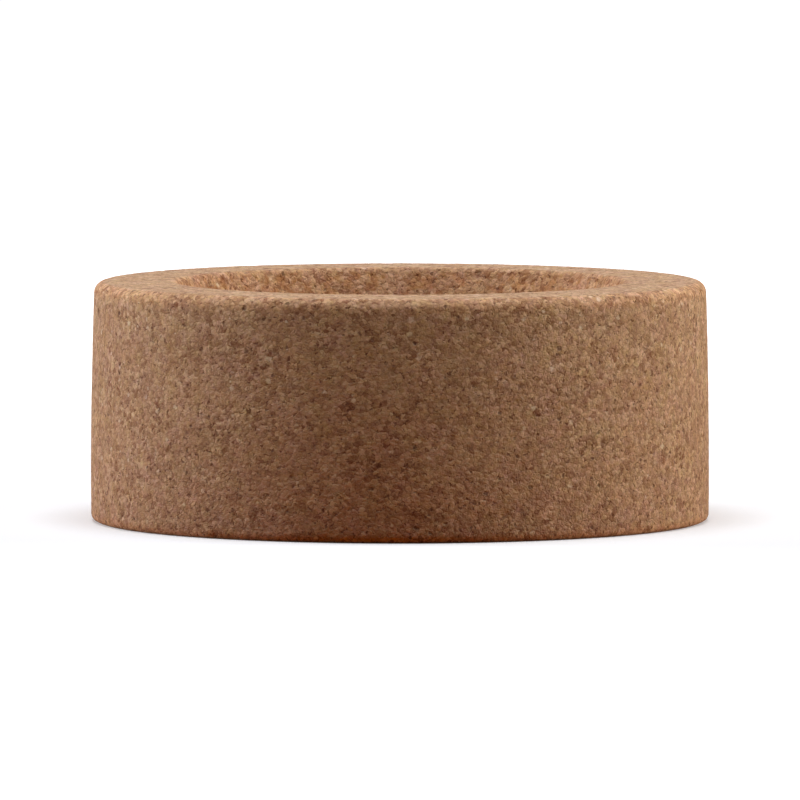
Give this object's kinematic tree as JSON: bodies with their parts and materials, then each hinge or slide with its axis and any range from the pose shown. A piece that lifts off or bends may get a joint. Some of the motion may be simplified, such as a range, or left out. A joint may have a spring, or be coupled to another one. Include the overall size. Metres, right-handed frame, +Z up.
{
  "type": "cork ring",
  "caption": "Thick pressed cork ring with a flat foot, a crowned wall and a funnel seat over a straight hole, on which a round-bottom flask stands.",
  "frame": {"origin": "centre of the foot face, on the ring's axis", "axes": "+Z up along the ring's axis, from the foot face to the funnel's mouth; the ring is round, so +X and +Y are any two directions square to it"},
  "size_m": [0.08, 0.08, 0.031],
  "materials": {
    "cork": "pressed agglomerated cork, matt: fine tan and reddish-brown granules with small dark pits and a few pale flakes, slightly crumbly at the edges"
  },
  "bodies": {
    "root": {"cork_ring": "cork"}
  },
  "joints": []
}
